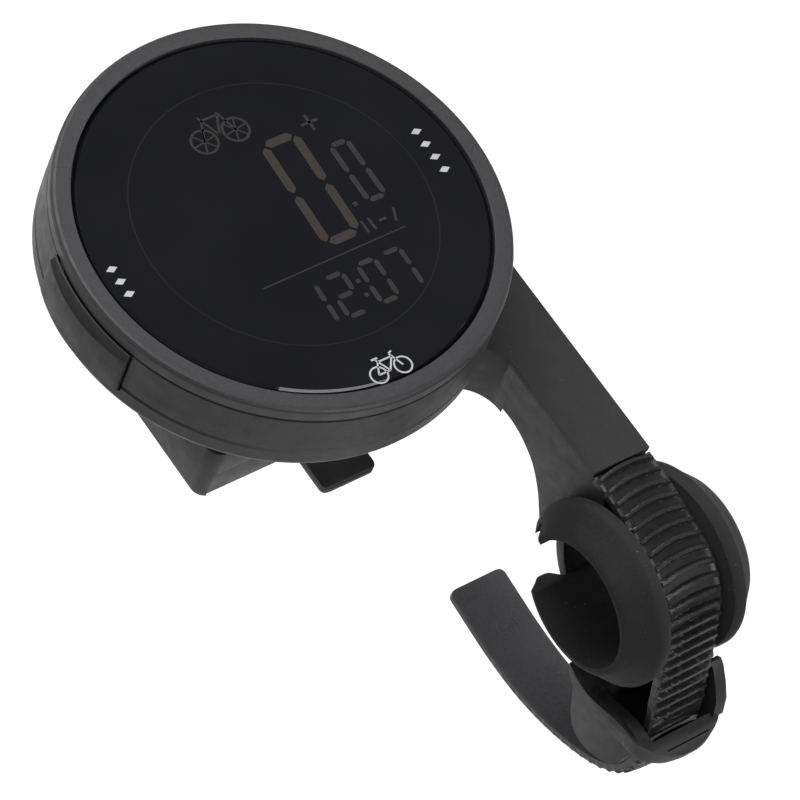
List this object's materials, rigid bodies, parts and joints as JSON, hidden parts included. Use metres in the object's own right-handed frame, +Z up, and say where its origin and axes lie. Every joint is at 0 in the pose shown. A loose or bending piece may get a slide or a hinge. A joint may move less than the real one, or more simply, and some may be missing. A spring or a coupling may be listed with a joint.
{
  "type": "cycling computer",
  "caption": "Round wireless cycling computer on an out-front arm, with a toothed strap clamp around a rubber handlebar bushing; side buttons press and the head slides off its latch.",
  "frame": {"origin": "on the handlebar axis, midway along the rubber bushing", "axes": "+X along the handlebar to the rider's right, +Y forward, +Z up; the display lies level and faces +Z"},
  "size_m": [0.0858, 0.1299, 0.0791],
  "materials": {
    "case_plastic": "fine spark-eroded texture",
    "bracket_plastic": "fine spark-eroded texture, smooth sides",
    "strap_plastic": "semi-matt moulded nylon",
    "bushing_rubber": "matt, a little dusty",
    "soft_rubber": "matt",
    "lens": "clear cover with black back print, polished",
    "foam_tape": "matt",
    "inner_plastic": "matt",
    "lcd": "polished",
    "white_plastic": "satin",
    "zebra_rubber": "matt",
    "board": "solder mask",
    "contact_metal": "satin",
    "steel": "plated"
  },
  "bodies": {
    "bracket": {"bracket_arm": "bracket_plastic", "bracket_cover": "bracket_plastic", "bracket_screws": "steel", "ratchet_strap": "strap_plastic", "rubber_bushing": "bushing_rubber", "latch_spring": "steel"},
    "head": {"bezel_ring": "case_plastic", "front_lens": "lens", "lens_tape": "foam_tape", "upper_case": "case_plastic", "rear_case": "case_plastic", "case_seal": "soft_rubber", "button_seals": "soft_rubber", "side_switches": "steel", "lcd_frame": "inner_plastic", "lcd_glass": "lcd", "backlight_plate": "white_plastic", "zebra_strips": "zebra_rubber", "circuit_board": "board", "main_chip": "inner_plastic", "radio_chip": "inner_plastic", "crystal_can": "steel", "buzzer": "inner_plastic", "coin_cell": "steel", "contact_positive": "contact_metal", "contact_negative": "contact_metal", "case_screws": "steel", "board_screws": "steel"},
    "battery_cover": {"battery_cover": "case_plastic", "cover_seal": "soft_rubber"},
    "set_button": {"set_button": "case_plastic"},
    "mode_button": {"mode_button": "case_plastic"},
    "release_latch": {"release_latch": "bracket_plastic"},
    "strap_pawl": {"strap_pawl": "bracket_plastic"}
  },
  "joints": [
    {"name": "head_slide", "type": "slide", "parent": "bracket", "child": "head", "axis": [0, 1, 0], "range_m": [0, 0.006]},
    {"name": "latch_press", "type": "hinge", "parent": "bracket", "child": "release_latch", "pos_m": [-0.0358, 0.0783, 0.009], "axis": [1, 0, 0], "range_deg": [0, 3], "stiffness_Nm_per_rad": 0.05, "deforming": ["latch_spring"]},
    {"name": "set_button_press", "type": "slide", "parent": "head", "child": "set_button", "axis": [0.9998, 0.0175, 0], "range_m": [0, 0.0006], "stiffness_N_per_m": 1200},
    {"name": "mode_button_press", "type": "slide", "parent": "head", "child": "mode_button", "axis": [-0.9998, -0.0175, 0], "range_m": [0, 0.0006], "stiffness_N_per_m": 1200},
    {"name": "battery_cover_turn", "type": "hinge", "parent": "head", "child": "battery_cover", "pos_m": [-0.0338, 0.0678, 0.0125], "axis": [0, 0, 1], "range_deg": [0, 60]},
    {"name": "pawl_release", "type": "hinge", "parent": "bracket", "child": "strap_pawl", "pos_m": [0, -0.02235, -0.0189], "axis": [-1, 0, 0], "range_deg": [0, 10], "stiffness_Nm_per_rad": 0.02}
  ],
  "couplings": [
    {"joint": "latch_press", "follows": "head_slide", "rad_per_m": 8.18}
  ]
}
